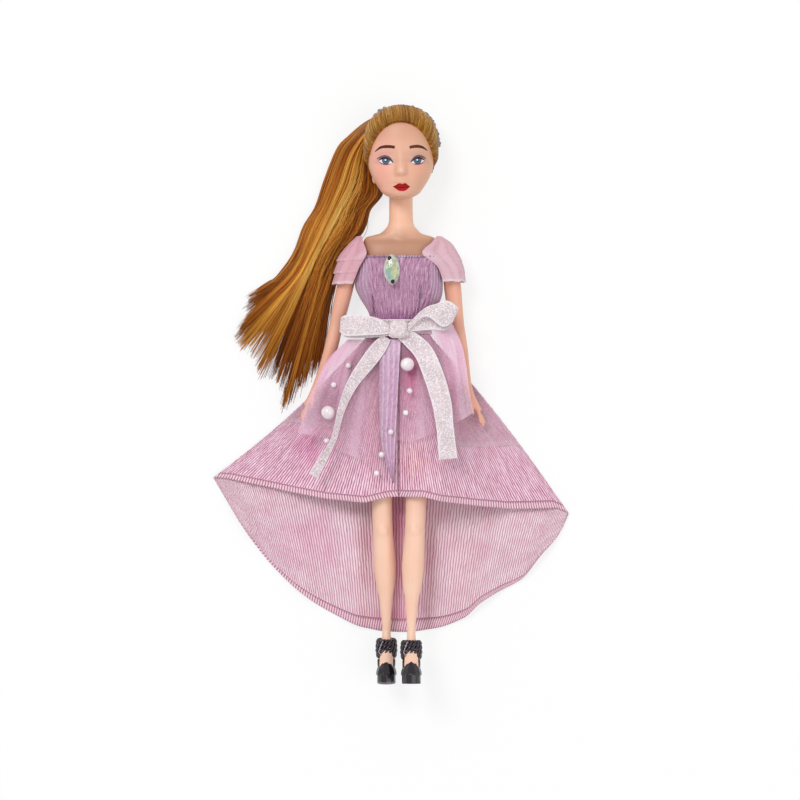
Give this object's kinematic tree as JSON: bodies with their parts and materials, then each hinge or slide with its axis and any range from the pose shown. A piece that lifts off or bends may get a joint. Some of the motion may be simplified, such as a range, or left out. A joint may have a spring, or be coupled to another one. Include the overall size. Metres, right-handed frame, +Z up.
{
  "type": "fashion doll",
  "caption": "Adult-proportioned fashion doll lying on its back in a high-low dress with tulle overskirt, ribbon bow, off-shoulder sleeves and platform sandals.",
  "frame": {"origin": "on the surface the doll lies on, on the underside of the back skirt panel between the hips", "axes": "+Y towards the head, +Z up out of the doll's front, +X towards the doll's left hand"},
  "size_m": [0.179, 0.2881, 0.04],
  "materials": {
    "skin": "smooth moulded plastic, satin",
    "head_vinyl": "soft moulded vinyl, painted face",
    "hair": "fine synthetic fibre, glossy along the strands",
    "hair_elastic": "matt",
    "silver_beads": "silvered beads",
    "bodice_fabric": "crinkled knit with glitter specks",
    "striped_fabric": "fine lengthwise ribs, satin",
    "glitter_tulle": "sheer net with glitter",
    "panel_tulle": "gathered tulle",
    "ribbon_glitter": "woven ribbon with glitter",
    "closure_tape": "hook and loop tape",
    "pearl": "pearlescent",
    "gem_facets": "faceted, iridescent",
    "shoe_black": "glossy moulded"
  },
  "bodies": {
    "torso": {"torso_front": "skin", "torso_back": "skin", "bodice": "bodice_fabric", "closure_loop_strip": "closure_tape", "closure_hook_strip": "closure_tape", "waist_ribbon": "ribbon_glitter", "skirt_back": "striped_fabric", "skirt_front_right": "striped_fabric", "skirt_front_left": "striped_fabric", "tulle_front_right": "glitter_tulle", "tulle_front_left": "glitter_tulle", "tulle_centre_panel": "panel_tulle", "tulle_back_right": "glitter_tulle", "tulle_back_left": "glitter_tulle", "bow_knot": "ribbon_glitter", "bow_loop_right": "ribbon_glitter", "bow_loop_left": "ribbon_glitter", "ribbon_tail_right": "ribbon_glitter", "ribbon_tail_left": "ribbon_glitter", "gem": "gem_facets", "pearl_large_1": "pearl", "pearl_large_2": "pearl", "sleeve_right": "glitter_tulle", "sleeve_left": "glitter_tulle", "pearl_small_1": "pearl", "pearl_small_2": "pearl", "pearl_small_3": "pearl", "pearl_small_4": "pearl", "pearl_small_5": "pearl", "pearl_small_6": "pearl", "pearl_small_7": "pearl", "pearl_small_8": "pearl"},
    "head": {"head": "head_vinyl", "scalp_hair": "hair", "hair_tie": "hair_elastic", "ponytail": "hair", "hairband": "silver_beads"},
    "arm_right": {"arm_right": "skin"},
    "arm_left": {"arm_left": "skin"},
    "leg_right": {"leg_right": "skin", "shoe_right": "shoe_black"},
    "leg_left": {"leg_left": "skin", "shoe_left": "shoe_black"}
  },
  "joints": [
    {"name": "neck_turn", "type": "hinge", "parent": "torso", "child": "head", "pos_m": [-0.0005, 0.106, 0.01335], "axis": [0, 1, 0], "range_deg": [-90, 90], "deforming": ["ponytail"]},
    {"name": "shoulder_right_swing", "type": "hinge", "parent": "torso", "child": "arm_right", "pos_m": [-0.001, 0.0754, 0.01255], "axis": [-1, 0, 0], "range_deg": [-40, 170], "deforming": ["sleeve_right", "bow_loop_right", "tulle_front_right", "tulle_back_right", "skirt_back", "skirt_front_right"]},
    {"name": "shoulder_left_swing", "type": "hinge", "parent": "torso", "child": "arm_left", "pos_m": [-0.001, 0.0754, 0.01255], "axis": [-1, 0, 0], "range_deg": [-40, 170], "deforming": ["sleeve_left", "bow_loop_left", "tulle_front_left", "tulle_back_left", "skirt_back", "skirt_front_left"]},
    {"name": "hip_right_swing", "type": "hinge", "parent": "torso", "child": "leg_right", "pos_m": [-0.0016, 0.0075, 0.01135], "axis": [-1, 0, 0], "range_deg": [0, 95], "deforming": ["skirt_back", "skirt_front_right", "skirt_front_left", "tulle_front_right", "tulle_front_left", "tulle_centre_panel", "tulle_back_right", "tulle_back_left", "ribbon_tail_right", "ribbon_tail_left", "pearl_large_1", "pearl_large_2", "pearl_small_1", "pearl_small_2", "pearl_small_3", "pearl_small_4", "pearl_small_5", "pearl_small_6", "pearl_small_7", "pearl_small_8"]},
    {"name": "hip_left_swing", "type": "hinge", "parent": "torso", "child": "leg_left", "pos_m": [-0.0016, 0.0075, 0.01135], "axis": [-1, 0, 0], "range_deg": [-6, 89], "deforming": ["skirt_back", "skirt_front_right", "skirt_front_left", "tulle_front_right", "tulle_front_left", "tulle_centre_panel", "tulle_back_right", "tulle_back_left", "ribbon_tail_right", "ribbon_tail_left", "pearl_large_1", "pearl_large_2", "pearl_small_1", "pearl_small_2", "pearl_small_3", "pearl_small_4", "pearl_small_5", "pearl_small_6", "pearl_small_7", "pearl_small_8"]}
  ]
}
